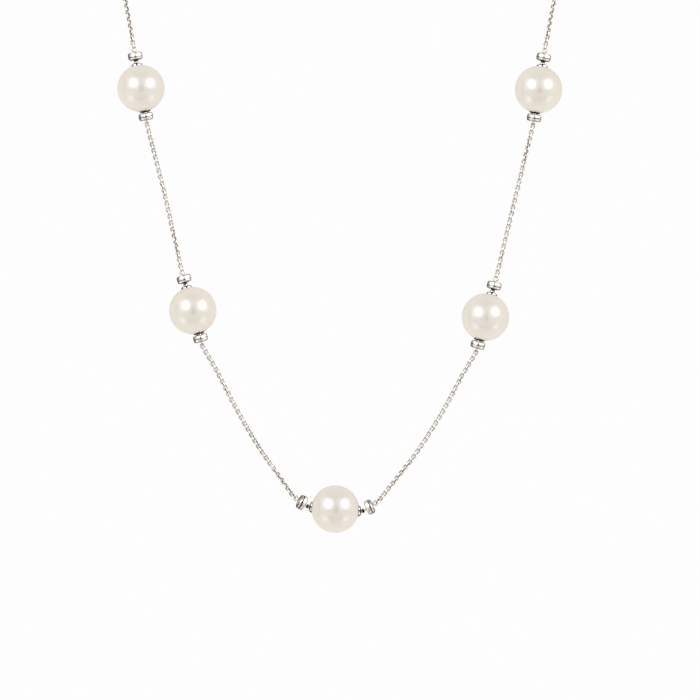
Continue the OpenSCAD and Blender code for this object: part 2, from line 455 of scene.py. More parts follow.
@dataclass(frozen=True)
class FloorFinish(Finish):
    """Pale studio floor, which fades to the white of the background at its rim."""

    name: str = "pale_floor"
    colour: Colour = (0.86, 0.86, 0.855)
    rough: float = 0.9
    fade_span: Pair = (0.35, 1.15)

    def surface(self, shop: ShaderShop) -> Link:
        """Fades the matt floor into the background.

        Args:
            shop: The material's tree.

        Returns:
            The shader.
        """
        place = shop.node("ShaderNodeTexCoord").outputs["Object"]
        distance = shop.number("ShaderNodeVectorMath", {"operation": "LENGTH"}, {0: place}, "Value")
        matt = shop.node("ShaderNodeBsdfDiffuse", {}, {"Color": self.colour, "Roughness": self.rough})
        glow = shop.node("ShaderNodeEmission", {}, {"Color": BACKDROP})
        return shop.mix(distance.ramp(self.fade_span), matt.outputs[0], glow.outputs[0])


# Meshes


@dataclass(frozen=True)
class Surface:
    """Points, faces that go anticlockwise from outside, and how far each point is darkened by painted
    shade and patina.
    """

    points: Sequence[Vector]
    faces: Faces
    shade_and_patina_amounts: Sequence[float]


def make_piece(
    name: str, material: Material, parts: Iterable[tuple[Surface, Matrix]], crease: float = 40.0
) -> Piece:
    """Makes a piece with smooth faces.

    Args:
        name: The piece's name.
        material: Its material.
        parts: Its surfaces, and where the frame of each goes. A place may be mirrored.
        crease: The angle in degrees from which an edge stays sharp.

    Returns:
        The piece.
    """
    points: list[tuple[float, ...]] = []
    faces: Faces = []
    shade_and_patina_amounts: list[float] = []
    for surface, place in parts:
        start = len(points)
        order = -1 if place.determinant() < 0 else 1
        points.extend(tuple(place @ point) for point in surface.points)
        faces.extend(tuple(start + number for number in face[::order]) for face in surface.faces)
        shade_and_patina_amounts.extend(surface.shade_and_patina_amounts)
    mesh = bpy.data.meshes.new(name)
    mesh.from_pydata(points, [], faces)
    mesh.polygons.foreach_set("use_smooth", [True] * len(mesh.polygons))
    mesh.set_sharp_from_angle(angle=math.radians(crease))
    mesh.attributes.new(SHADE_AND_PATINA, "FLOAT", "POINT").data.foreach_set("value", shade_and_patina_amounts)
    mesh.materials.append(material)
    mesh.validate()
    mesh.update()
    piece = bpy.data.objects.new(name, mesh)
    bpy.context.scene.collection.objects.link(piece)
    return piece


@dataclass(frozen=True)
class ProfilePoint:
    """A point of a turned piece's half section."""

    radius: float
    height: float
    shade_and_patina: float = 0.0


def arc(
    centre: tuple[float, float], radius: float, first: float, last: float, steps: int, shade_and_patina: float = 0.0
) -> list[ProfilePoint]:
    """Draws an arc of a half section.

    Args:
        centre: The arc's centre, as radius and height.
        radius: The arc's radius.
        first: The angle in degrees at which it begins, from the way outward towards the way up.
        last: The angle at which it ends.
        steps: The number of steps, or 0 for one point.
        shade_and_patina: How far its points are darkened by painted shade and patina.

    Returns:
        The arc's points.
    """
    points = []
    for step in range(steps + 1):
        angle = math.radians(first + (last - first) * step / max(steps, 1))
        across = centre[0] + radius * math.cos(angle)
        points.append(ProfilePoint(across, centre[1] + radius * math.sin(angle), shade_and_patina))
    return points


def circle(steps: int, offset: float = 0.0) -> list[Pair]:
    """Lists the points of a circle of radius 1, the first of them a part of a step on."""
    angles = [FULL_TURN * (k + offset) / steps for k in range(steps)]
    return [(math.cos(angle), math.sin(angle)) for angle in angles]


def woven(rings: int, sides: int, closed: bool) -> Faces:
    """Joins each ring of points to the next with faces.

    Args:
        rings: The number of rings.
        sides: The number of points in each, anticlockwise as the next ring sees them.
        closed: True where the last ring is joined to the first.

    Returns:
        The faces.
    """
    faces = []
    for ring in range(rings if closed else rings - 1):
        near, far = ring * sides, (ring + 1) % rings * sides
        for k in range(sides):
            after = (k + 1) % sides
            faces.append((near + k, near + after, far + after, far + k))
    return faces


def turned(profile: Sequence[ProfilePoint], around: int) -> Surface:
    """Turns a closed half section about Z.

    Args:
        profile: The section's points, anticlockwise with the radius to the right.
        around: The number of steps round the axis.

    Returns:
        The surface.
    """
    points = [
        Vector((p.radius * x, -p.radius * y, p.height)) for x, y in circle(around) for p in profile
    ]
    return Surface(points, woven(around, len(profile), True), [p.shade_and_patina for p in profile] * around)


def headings(path: Sequence[Vector], closed: bool = False) -> list[Vector]:
    """Finds which way a path goes at each of its points.

    Args:
        path: The path's points.
        closed: True for a ring.

    Returns:
        The ways.
    """
    before, after = (path[-1], path[0]) if closed else (path[0], path[-1])
    padded = [before, *path, after]
    return [(b - a).normalized() for a, b in zip(padded, padded[2:])]


def square_to(way: Vector, side: Vector) -> Vector:
    """Turns a side until it is square to a way."""
    return (side - way * side.dot(way)).normalized()


def carried(side: Vector, ways: Sequence[Vector]) -> list[Vector]:
    """Carries a side along a path's ways, square to each of them and without a twist."""
    return list(accumulate(ways, lambda before, way: square_to(way, before), initial=side))[1:]


def wire(
    path: Sequence[Vector], radius: float, sides: int, closed: bool = False, shade_and_patina: float = 0.0
) -> Surface:
    """Draws a round wire along a path, with rounded ends if it is open.

    Args:
        path: The points of the wire's centre line.
        radius: The wire's radius.
        sides: The number of sides.
        closed: True for a ring.
        shade_and_patina: How far it is darkened by painted shade and patina.

    Returns:
        The surface.
    """
    end_reach, end_radius = radius * 0.6, radius * 0.55
    ways = headings(path, closed)
    across = carried(ways[0].orthogonal(), ways)
    rings = [(middle, a, way.cross(a), radius) for middle, way, a in zip(path, ways, across)]
    if not closed:
        rings.insert(0, (path[0] - ways[0] * end_reach, *rings[0][1:3], end_radius))
        rings.append((path[-1] + ways[-1] * end_reach, *rings[-1][1:3], end_radius))
    points = [middle + size * (x * a + y * b) for middle, a, b, size in rings for x, y in circle(sides)]
    faces = woven(len(rings), sides, closed)
    if not closed:
        faces.append(tuple(reversed(range(sides))))
        faces.append(tuple(range(len(points) - sides, len(points))))
    return Surface(points, faces, [shade_and_patina] * len(points))


def smooth_path(points: Sequence[Vector], steps: int) -> list[Vector]:
    """Runs a smooth curve through some points.

    Args:
        points: The points, of which the curve passes through each.
        steps: Steps from each point to the next.

    Returns:
        The curve's points.
    """
    padded = [2 * points[0] - points[1], *points, 2 * points[-1] - points[-2]]
    curve = []
    for a, b, c, d in zip(padded, padded[1:], padded[2:], padded[3:]):
        bend, swing = 2 * a - 5 * b + 4 * c - d, 3 * b - a - 3 * c + d
        for step in range(steps):
            t = step / steps
            curve.append((2 * b + (c - a) * t + bend * t**2 + swing * t**3) / 2)
    return [*curve, points[-1].copy()]


def spaced(curve: Sequence[Vector], pitch: float) -> list[Vector]:
    """Spaces points evenly along a curve, from its beginning to its end.

    Args:
        curve: The curve's points.
        pitch: The greatest distance from each point to the next.

    Returns:
        The points.
    """
    lengths = list(accumulate(((b - a).length for a, b in pairwise(curve)), initial=0.0))
    count = math.ceil(lengths[-1] / pitch)
    places = []
    for n in range(count + 1):
        target = lengths[-1] * n / count
        k = min(bisect_left(lengths, target, 1), len(lengths) - 1)
        part = (target - lengths[k - 1]) / (lengths[k] - lengths[k - 1])
        places.append(curve[k - 1].lerp(curve[k], part))
    return places


# The worn form


@dataclass(frozen=True)
class Front:
    """The leaning plane that the necklace's front hangs in."""

    lean: float = 6.0
    reach: float = 86 * MM
    drop: float = 78 * MM

    def point(self, across: float, height: float) -> Vector:
        """Gives the point of the front that is so far to the right and so high."""
        back = (height + self.drop) * math.tan(math.radians(self.lean))
        return Vector((across, -self.reach + back, height))

    def turn(self, heading: float) -> Matrix:
        """Turns a pearl's frame: Z along its hole, X to the left of that, Y to the front."""
        return spin(-self.lean, "X") @ spin(90 - heading, "Y") @ spin(180, "Z")

    @property
    def normal(self) -> Vector:
        """The way that the front faces."""
        angle = math.radians(self.lean)
        return Vector((0, -math.cos(angle), math.sin(angle)))


@dataclass(frozen=True)
class PinEnd:
    """One end of a pearl's eye pin and the rondelle on it. Angles are in degrees."""

    eye_reach: float
    eye_turn: float
    rondelle_at: float
    tilt: float = 0.0
    swing: float = 0.0
    collar_rise: float = 0.36 * MM
    # How far the whole collar is painted dark: painted shade.
    collar_painted_shade: float = 0.0
    groove_at: float = 0.0
    groove_width: float = 0.12 * MM
    bend: float = 0.0
    bend_from: float = 4.15 * MM
    bend_radius: float = 1.6 * MM
    wire_d: float = 0.25 * MM

    def place(self, distance: float) -> Matrix:
        """Gives the frame at a place on the wire: Z along the wire, Y to the front.

        Args:
            distance: The length of wire from the pearl's centre.

        Returns:
            The frame, in the frame of this end.
        """
        bend = math.radians(self.bend)
        past = max(distance - self.bend_from, 0)
        angle = min(past / self.bend_radius, bend)
        after = max(past - self.bend_radius * bend, 0)
        sine, cosine = math.sin(angle), math.cos(angle)
        across = self.bend_radius * (1 - cosine) + after * sine
        along = min(distance, self.bend_from) + self.bend_radius * sine + after * cosine
        return Matrix.Translation((across, 0, along)) @ Matrix.Rotation(angle, 4, "Y")

    def eye_place(self, distance: float) -> Matrix:
        """Gives the same frame with X in the plane of the eye."""
        return self.place(distance) @ spin(self.eye_turn, "Z")


@dataclass(frozen=True)
class Hook:
    """A wire that a chain's first or last link hangs on."""

    seat: Vector
    way_out: Vector
    wire_way: Vector
    wire_d: float


@dataclass(frozen=True)
class Station:
    """A pearl's place on the front, with the pin through it.

    Its heading is that of its hole, in degrees anticlockwise from the right.
    """

    number: int
    across: float
    height: float
    heading: float
    behind: PinEnd
    ahead: PinEnd
    front: Front = field(default_factory=Front)

    @property
    def frame(self) -> Matrix:
        """The pearl's frame, with Z along its hole."""
        place = Matrix.Translation(self.front.point(self.across, self.height))
        return place @ self.front.turn(self.heading)

    def end(self, side: Side) -> PinEnd:
        """One end of the pin."""
        return self.ahead if side is Side.AHEAD else self.behind

    def end_frame(self, side: Side) -> Matrix:
        """The pearl's frame with Z out at one end. It is mirrored at the end behind."""
        return self.frame @ side.mirror

    def hook(self, side: Side) -> Hook:
        """Finds the wire that a chain hangs on.

        Args:
            side: The end of the pin.

        Returns:
            The outer wire of the eye there.
        """
        end = self.end(side)
        at = self.end_frame(side) @ end.eye_place(end.eye_reach - end.wire_d / 2)
        across, _, out = (axis.xyz.normalized() for axis in at.col[:3])
        return Hook(at.translation.copy(), out, across, end.wire_d)


# The station's pieces


@dataclass
class Pearl:
    """A round faux pearl, drilled through, whose hole has a slightly softened edge."""

    diameter: float = 8.0 * MM
    hole_d: float = 0.78 * MM
    hole_steps: int = 6
    softened: float = 0.05 * MM
    around: int = 128
    along: int = 72

    def profile(self) -> list[ProfilePoint]:
        """Draws the pearl's half section.

        Returns:
            Its points, round the outside from the lower mouth and back down the hole.
        """
        radius, bore = self.diameter / 2, self.hole_d / 2
        edge = math.degrees(math.acos((bore + self.softened) / radius))
        top = math.sqrt(radius**2 - bore**2) - self.softened
        heights = [top * (1 - 2 * k / self.hole_steps) for k in range(self.hole_steps + 1)]
        hole = [ProfilePoint(bore, height) for height in heights]
        return arc((0, 0), radius, -edge, edge, self.along) + hole

    def build(self, station: Station, material: Material) -> Piece:
        """Makes the pearl of a station."""
        surface = turned(self.profile(), self.around)
        return make_piece(f"lacquered_pearl_{station.number}", material, [(surface, station.frame)])


@dataclass
class FlaredTube:
    """A thin tube through the pearl, with a round-topped flare on the pearl at each end, marked with
    painted shade and a painted reflection.
    """

    outer_d: float = 0.68 * MM
    bore_d: float = 0.44 * MM
    # Painted shade in the bore.
    bore_painted_shade: float = 0.7
    reach: float = 4.9 * MM
    flare_d: float = 1.84 * MM
    flare_steps: int = 14
    lip: float = 0.06 * MM
    seat_r: float = 4.02 * MM
    # Painted shade where the flare meets the pearl.
    seat_painted_shade: float = 0.6
    # Painted shade on the flare's crown, where the tube rises from it.
    crown: float = 0.5
    crown_edge: float = 4.0
    crown_painted_shade: float = 0.8
    end_round: float = 0.05 * MM
    # Painted shade on the end of the tube that lies inside the disc.
    painted_end: float = 0.42 * MM
    painted_end_soft: float = 0.105 * MM
    # Width of a dark line painted down the tube's front: a painted reflection.
    painted_line_width: float = 0.15 * MM
    # A dark spot painted at the front of each flare, where the tube leaves it: painted shade.
    painted_spot_width: float = 0.32 * MM
    painted_spot_height: float = 0.32 * MM
    # Painted shade on the flare's left and right sides.
    flank: float = 0.74
    flank_edge: float = 8.0
    flank_painted_shade: float = 0.9
    around: int = 128

    @property
    def rim_height(self) -> float:
        """The height at which the flare's rim meets the pearl."""
        return math.sqrt(self.seat_r**2 - (self.flare_d / 2) ** 2)

    def half_profile(self, end: PinEnd) -> list[ProfilePoint]:
        """Draws the upper half of the tube's half section.

        Args:
            end: The end of the pin that it is on.

        Returns:
            Its points, from the middle of the outside, over the flare, to the end of the bore.
        """
        outer, bore, rim = self.outer_d / 2, self.bore_d / 2, self.flare_d / 2
        inner_angle = math.degrees(math.acos(outer / self.seat_r))
        rim_angle = math.degrees(math.acos(rim / self.seat_r))
        lip_height = self.rim_height + self.lip
        flare = []
        for k in range(self.flare_steps):
            angle = math.radians(90 * k / self.flare_steps)
            # The flare's crown is painted dark, and the whole flare where the end asks for it: painted
            # shade.
            darkening = max(end.collar_painted_shade, share(self.crown_edge * (math.sin(angle) - self.crown)))
            across = outer + (rim - outer) * math.cos(angle)
            flare.append(ProfilePoint(across, lip_height + end.collar_rise * math.sin(angle), darkening))
        end_height = self.reach - self.end_round
        return [
            ProfilePoint(outer, 0.0, self.seat_painted_shade),
            *arc((0, 0), self.seat_r, inner_angle, rim_angle, 6, self.seat_painted_shade),
            *flare,
            ProfilePoint(outer, lip_height + end.collar_rise, self.crown_painted_shade),
            ProfilePoint(outer, self.reach - self.painted_end),
            ProfilePoint(outer, self.reach - self.painted_end + self.painted_end_soft, 1.0),
            *arc((outer - self.end_round, end_height), self.end_round, 0, 90, 4, 1.0),
            ProfilePoint(bore + self.end_round, self.reach, 1.0),
            ProfilePoint(bore, end_height, 1.0),
        ]

    def profile(self, station: Station) -> list[ProfilePoint]:
        """Joins both halves into one closed section.

        Args:
            station: The tube's pearl.

        Returns:
            The section's points.
        """
        upper = self.half_profile(station.ahead)
        mirrored = self.half_profile(station.behind)
        lower = [ProfilePoint(p.radius, -p.height, p.shade_and_patina) for p in reversed(mirrored[1:])]
        heights = [self.reach * part for part in (0.8, 0.4, 0, -0.4, -0.8)]
        inside = [ProfilePoint(self.bore_d / 2, height, self.bore_painted_shade) for height in heights]
        return upper + inside + lower

    def painted_shade_at(self, point: Vector) -> float:
        """Paints the tube's marks: a dark line down its front, which is a painted reflection, and a dark
        spot at the front of each flare and dark flare sides, which are painted shade.

        Args:
            point: A point of the tube, before it is bent.

        Returns:
            How dark the point is painted, from 0 to 1. The line runs down the front.
        """
        aside, radius = abs(point.x), math.hypot(point.x, point.y)
        front, outside = point.y >= 0, radius - self.outer_d / 2
        if outside < self.end_round / 2:
            return float(front and outside >= -self.end_round / 2 and aside < self.painted_line_width / 2)
        low = abs(point.z) < self.rim_height + self.painted_spot_height
        painted_spot = float(front and low and aside < self.painted_spot_width / 2)
        if outside < self.end_round:
            return painted_spot
        return max(painted_spot, self.flank_painted_shade * share((aside / radius - self.flank) * self.flank_edge))

    def build(self, station: Station, material: Material) -> Piece:
        """Makes the tube, bent where its pin is.

        Args:
            station: Its pearl's place.
            material: Its material.

        Returns:
            The tube.
        """
        straight = turned(self.profile(station), self.around)
        shade_and_patina_amounts = [max(h, self.painted_shade_at(point)) for point, h in zip(straight.points, straight.shade_and_patina_amounts)]
        bent = []
        for point in straight.points:
            side = Side.AHEAD if point.z >= 0 else Side.BEHIND
            at = side.mirror @ station.end(side).place(abs(point.z))
            bent.append(at @ Vector((point.x, point.y, 0)))
        surface = Surface(bent, straight.faces, shade_and_patina_amounts)
        return make_piece(f"flared_lining_{station.number}", material, [(surface, station.frame)])


@dataclass
class EyePin:
    """The wire through a pearl, turned into a round eye at each end."""

    eye_d: float = 1.00 * MM
    neck: float = 0.16 * MM
    neck_run: float = 0.352 * MM
    joined_at: float = 38.0
    closed_at: float = 338.0
    darkening: float = 0.35
    shaft_steps: int = 24
    eye_steps: int = 9
    curve_steps: int = 5
    sides: int = 14

    def end_path(self, end: PinEnd) -> list[Vector]:
        """Draws the wire from the pearl's centre out round the eye.

        Args:
            end: The pin's end.

        Returns:
            The points of the wire's centre line, in the frame of that end.
        """
        radius = (self.eye_d - end.wire_d) / 2
        eye_at = end.eye_reach - self.eye_d / 2
        step = (eye_at - radius - self.neck_run) / self.shaft_steps
        shaft = [end.place(step * k).translation.copy() for k in range(self.shaft_steps + 1)]
        eye = end.eye_place(eye_at)
        bends = [eye @ Vector((0, 0, -radius - self.neck))]
        for k in range(self.eye_steps + 1):
            sweep = (self.closed_at - self.joined_at) * k / self.eye_steps
            angle = math.radians(self.joined_at + sweep)
            bends.append(eye @ Vector((radius * math.sin(angle), 0, -radius * math.cos(angle))))
        return shaft[:-1] + smooth_path([shaft[-1], *bends], self.curve_steps)

    def build(self, station: Station, material: Material) -> Piece:
        """Makes the pin in one length of wire.

        Args:
            station: Its pearl's place.
            material: Its material.

        Returns:
            The pin.
        """
        behind, ahead = (
            [station.end_frame(side) @ point for point in self.end_path(station.end(side))]
            for side in Side
        )
        radius = station.ahead.wire_d / 2
        surface = wire(behind[:0:-1] + ahead, radius, self.sides, shade_and_patina=self.darkening)
        return make_piece(f"wire_pin_{station.number}", material, [(surface, Matrix())])


@dataclass
class Rondelle:
    """A bored disc with a fine groove round its bulging side, painted dark in its groove, its bore and on
    its face towards its pearl, and lightly on its outer edge: painted shade.
    """

    diameter: float = 2.45 * MM
    thickness: float = 1.2 * MM
    bore_d: float = 0.90 * MM
    edge: float = 0.30 * MM
    edge_end: float = 88.0
    # Painted shade on the rounded edge and face away from the pearl.
    edge_painted_shade: float = 0.35
    side_r: float = 2.0 * MM
    mouth: float = 0.34 * MM
    # Painted shade in the mouths of the bore, and black on the face towards the pearl.
    mouth_painted_shade: float = 0.1
    bright_to: float = 150.0
    dark_from: float = 165.0
    face_soft: float = 0.02 * MM
    # The groove is painted black: painted shade in it.
    groove_depth: float = 0.04 * MM
    groove_lip: float = 0.004 * MM
    groove_slope: float = 0.3
    around: int = 64

    def profile(self, end: PinEnd) -> list[ProfilePoint]:
        """Draws the disc's half section.

        Args:
            end: The end of the pin that it is on.

        Returns:
            Its points, anticlockwise from the outer edge nearest the pearl.
        """
        half = self.thickness / 2
        side = (self.diameter / 2 - self.side_r, 0)
        edge_z = half - self.edge
        sweep = math.degrees(math.asin(edge_z / (self.side_r - self.edge)))
        edge_x = side[0] + (self.side_r - self.edge) * math.cos(math.radians(sweep))
        mouth_x, mouth_z = self.bore_d / 2 + self.mouth, half - self.mouth
        below, above = (
            math.degrees(math.asin((end.groove_at + half_width) / self.side_r))
            for half_width in (-end.groove_width / 2, end.groove_width / 2)
        )
        slope = (above - below) * self.groove_slope
        lip = self.side_r - self.groove_lip
        # The groove, the bore, the face towards the pearl and, lightly, the outer edge and face are
        # painted dark: painted shade.
        return [
            *arc((edge_x, -edge_z), self.edge, -self.edge_end, -sweep, 8),
            *arc(side, self.side_r, -sweep, below, 8)[1:],
            *arc(side, lip, below, below, 0, 1.0),
            *arc(side, self.side_r - self.groove_depth, below + slope, above - slope, 2, 1.0),
            *arc(side, lip, above, above, 0, 1.0),
            *arc(side, self.side_r, above, sweep, 8)[:-1],
            *arc((edge_x, edge_z), self.edge, sweep, self.edge_end, 8, self.edge_painted_shade),
            *arc((mouth_x, mouth_z), self.mouth, 90, self.bright_to, 5, self.mouth_painted_shade),
            *arc((mouth_x, mouth_z), self.mouth, self.dark_from, 180, 2, 1.0),
            *arc((mouth_x, -mouth_z), self.mouth, 180, 270, 8, 1.0),
            ProfilePoint(edge_x - self.face_soft, -half, 1.0),
        ]

    def build(self, number: int, station: Station, side: Side, material: Material) -> Piece:
        """Makes the disc.

        Args:
            number: Its number along the necklace.
            station: Its pearl's place.
            side: The end of the pin that it is on.
            material: Its material.

        Returns:
            The disc.
        """
        end = station.end(side)
        seat = Matrix.Translation(end.place(end.rondelle_at).translation)
        place = station.end_frame(side) @ seat @ spin(end.tilt, "Y") @ spin(-end.swing, "X")
        surface = turned(self.profile(end), self.around)
        return make_piece(f"polished_rondelle_{number}", material, [(surface, place)])


# The chain


@dataclass
class CableChain:
    """A run of oval links, each turned a quarter from the last, which begins at its front end."""

    number: int
    start: Hook
    route: Sequence[Vector]
    finish: Hook
    facing: Vector
    lie: float = 45.0
    link_length: float = 1.02 * MM
    link_width: float = 0.86 * MM
    wire_d: float = 0.220 * MM
    slack: float = 0.004 * MM
    squareness: float = 0.65
    # The links' insides are darkened: painted shade where the links hide one another, with patina.
    darkening: float = 0.95
    end_darkening: float = 0.9
    end_from: float = 0.9
    polished: float = 0.45
    darkening_edge: float = 2.5
    settle: int = 7
    play: float = 6.0
    twist: float = 12.0
    twist_links: float = 47.0
    curve_steps: int = 24
    around: int = 20
    sides: int = 8

    @property
    def half_length(self) -> float:
        """Half of a link's length, along its wire's centre line."""
        return (self.link_length - self.wire_d) / 2

    def link(self) -> Surface:
        """Draws one link: its length along Z, its width along X.

        Returns:
            The link. Its inside is darkened with painted shade and patina, its ends a little less, where
            its neighbours rub it, and its outside not at all.
        """
        half_width = (self.link_width - self.wire_d) / 2
        path = []
        for spot in circle(self.around, 0.5):
            across, along = (math.copysign(abs(part) ** self.squareness, part) for part in spot)
            path.append(Vector((half_width * across, 0, self.half_length * along)))
        bare = wire(path, self.wire_d / 2, self.sides, closed=True)
        power = 2 / self.squareness
        shade_and_patina_amounts = []
        for point in bare.points:
            aside, along = abs(point.x / half_width), abs(point.z / self.half_length)
            spread = (aside**power + along**power) ** (1 / power)
            outward = (spread - 1) * half_width / (self.wire_d / 2)
            # Painted shade, with patina, on the side towards the link's hole.
            shaded = share((self.polished - outward) * self.darkening_edge)
            middle = max(self.end_darkening, share((self.end_from - along) * self.darkening_edge))
            shade_and_patina_amounts.append(middle * shaded * self.darkening)
        return Surface(bare.points, bare.faces, shade_and_patina_amounts)

    def centre(self, hook: Hook) -> Vector:
        """The middle of the link that hangs on a hook."""
        hang = self.half_length - (self.wire_d + hook.wire_d) / 2 - self.slack
        return hook.seat + hang * hook.way_out

    def frames(self) -> list[Matrix]:
        """Works out where each link goes.

        Returns:
            A frame for each link: Z along the chain, Y through the link's hole.
        """
        route = [self.centre(self.start), *self.route, self.centre(self.finish)]
        pitch = self.link_length - 2 * self.wire_d - self.slack
        places = spaced(smooth_path(route, self.curve_steps), pitch)
        ways = headings(places)
        sides = carried(self.facing, ways)
        first = self.angle(self.start, ways[0], sides[0])
        last = self.angle(self.finish, ways[-1], sides[-1])
        frames = []
        for place, way, side, turn in zip(places, ways, sides, self.turns(len(places) - 1, first, last)):
            hole = Matrix.Rotation(math.radians(turn), 3, way) @ side
            frame = Matrix((hole.cross(way), hole, way)).transposed().to_4x4()
            frames.append(Matrix.Translation(place) @ frame)
        return frames

    @staticmethod
    def angle(hook: Hook, way: Vector, side: Vector) -> float:
        """Finds the angle in degrees, about the chain's way, from a side to a hook's wire."""
        flat = square_to(way, hook.wire_way)
        return math.degrees(math.atan2(way.dot(side.cross(flat)), side.dot(flat)))

    def turns(self, count: int, first: float, last: float) -> list[float]:
        """Works out each link's turn, so that both end links suit their hooks.

        Args:
            count: The number of steps from the first link to the last.
            first: The first link's turn, in degrees.
            last: The last link's turn.

        Returns:
            The turn of each link. Away from its ends the chain shows both sets of links alike.
        """
        dice = random.Random(self.number)
        resting = (self.lie - first + 45) % 90 - 45
        needed = (last - first - 90 * count - resting + 90) % 180 - 90
        turns = []
        for n in range(count + 1):
            begun = share(n / self.settle)
            ending = share(1 - (count - n) / (2 * self.settle))
            free = min(begun, 1 - ending)
            play = self.play * dice.uniform(-1, 1)
            play += self.twist * math.sin(FULL_TURN * n / self.twist_links + self.number)
            ease = ending * ending * (3 - 2 * ending)
            turns.append(first + 90 * n + resting * begun + needed * ease + play * free)
        return turns

    def build(self, material: Material) -> Piece:
        """Makes the run.

        Args:
            material: The links' material.

        Returns:
            All its links as one piece.
        """
        link = self.link()
        parts = [(link, frame) for frame in self.frames()]
        LOG.info("chain %d: %d links", self.number, len(parts))
        return make_piece(f"cable_chain_{self.number}", material, parts, crease=80.0)


@dataclass(frozen=True)
class Clasp:
    """The ring at the nape with its soldered eye, and the plain ring that it holds."""

    ring_d: float = 5.5 * MM
    section_d: float = 1.2 * MM
    eye_d: float = 2.0 * MM
    end_ring_d: float = 3.4 * MM
    wire_d: float = 0.40 * MM
    knit: float = 0.1 * MM
    clearance: float = 0.04 * MM

    @property
    def left_hook(self) -> Hook:
        """The outer wire of the clasp's eye."""
        across = -(self.ring_d / 2 + self.eye_d - self.wire_d - self.knit)
        return Hook(Vector((across, 0, 0)), Vector((-1, 0, 0)), Vector((0, 0, 1)), self.wire_d)

    @property
    def right_hook(self) -> Hook:
        """The outer wire of the plain ring."""
        inside = self.ring_d / 2 - self.section_d - self.clearance
        across = inside - self.wire_d / 2 + self.end_ring_d - self.wire_d
        return Hook(Vector((across, 0, 0)), Vector((1, 0, 0)), Vector((0, 1, 0)), self.wire_d)


# The whole necklace


